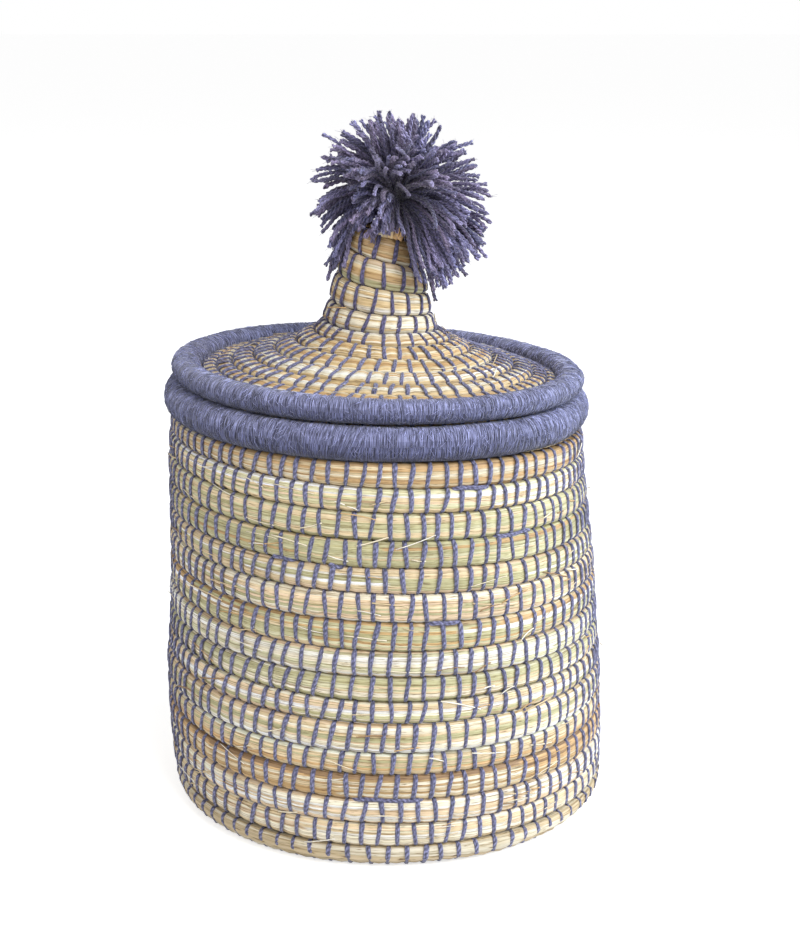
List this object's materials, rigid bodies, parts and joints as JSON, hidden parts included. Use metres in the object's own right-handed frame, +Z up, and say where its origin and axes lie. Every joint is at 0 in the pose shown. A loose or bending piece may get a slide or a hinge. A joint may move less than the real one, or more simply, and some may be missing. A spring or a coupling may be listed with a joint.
{
  "type": "lidded coiled basket",
  "caption": "Round coiled straw basket sewn with yarn, with two yarn-wrapped rims and a lift-off spired lid under a yarn pompom.",
  "frame": {"origin": "centre of the basket's underside, on the surface that it stands on", "axes": "+Z up along the basket's axis, -Y towards the front, +X to the right seen from the front"},
  "size_m": [0.2021, 0.2021, 0.3062],
  "materials": {
    "body_straw": "dry straw and grass bundles, satin",
    "lid_straw": "dry golden straw bundles, satin",
    "rim_yarn": "matt wrapped yarn",
    "pompom_yarn": "matt plied yarn"
  },
  "bodies": {
    "basket": {"base_coil": "body_straw", "wall_coil": "body_straw", "rim_core": "body_straw", "rim_wrap": "rim_yarn"},
    "lid": {"lid_coil": "lid_straw", "lid_rim_core": "lid_straw", "lid_rim_wrap": "rim_yarn", "lid_lip": "lid_straw", "pompom_crown": "pompom_yarn", "pompom_skirt": "pompom_yarn", "pompom_tie": "pompom_yarn", "pompom_tail": "pompom_yarn", "anchor_knot": "pompom_yarn"}
  },
  "joints": [
    {"name": "lid_lift", "type": "slide", "parent": "basket", "child": "lid", "axis": [0, 0, 1], "range_m": [0, 0.12]}
  ]
}
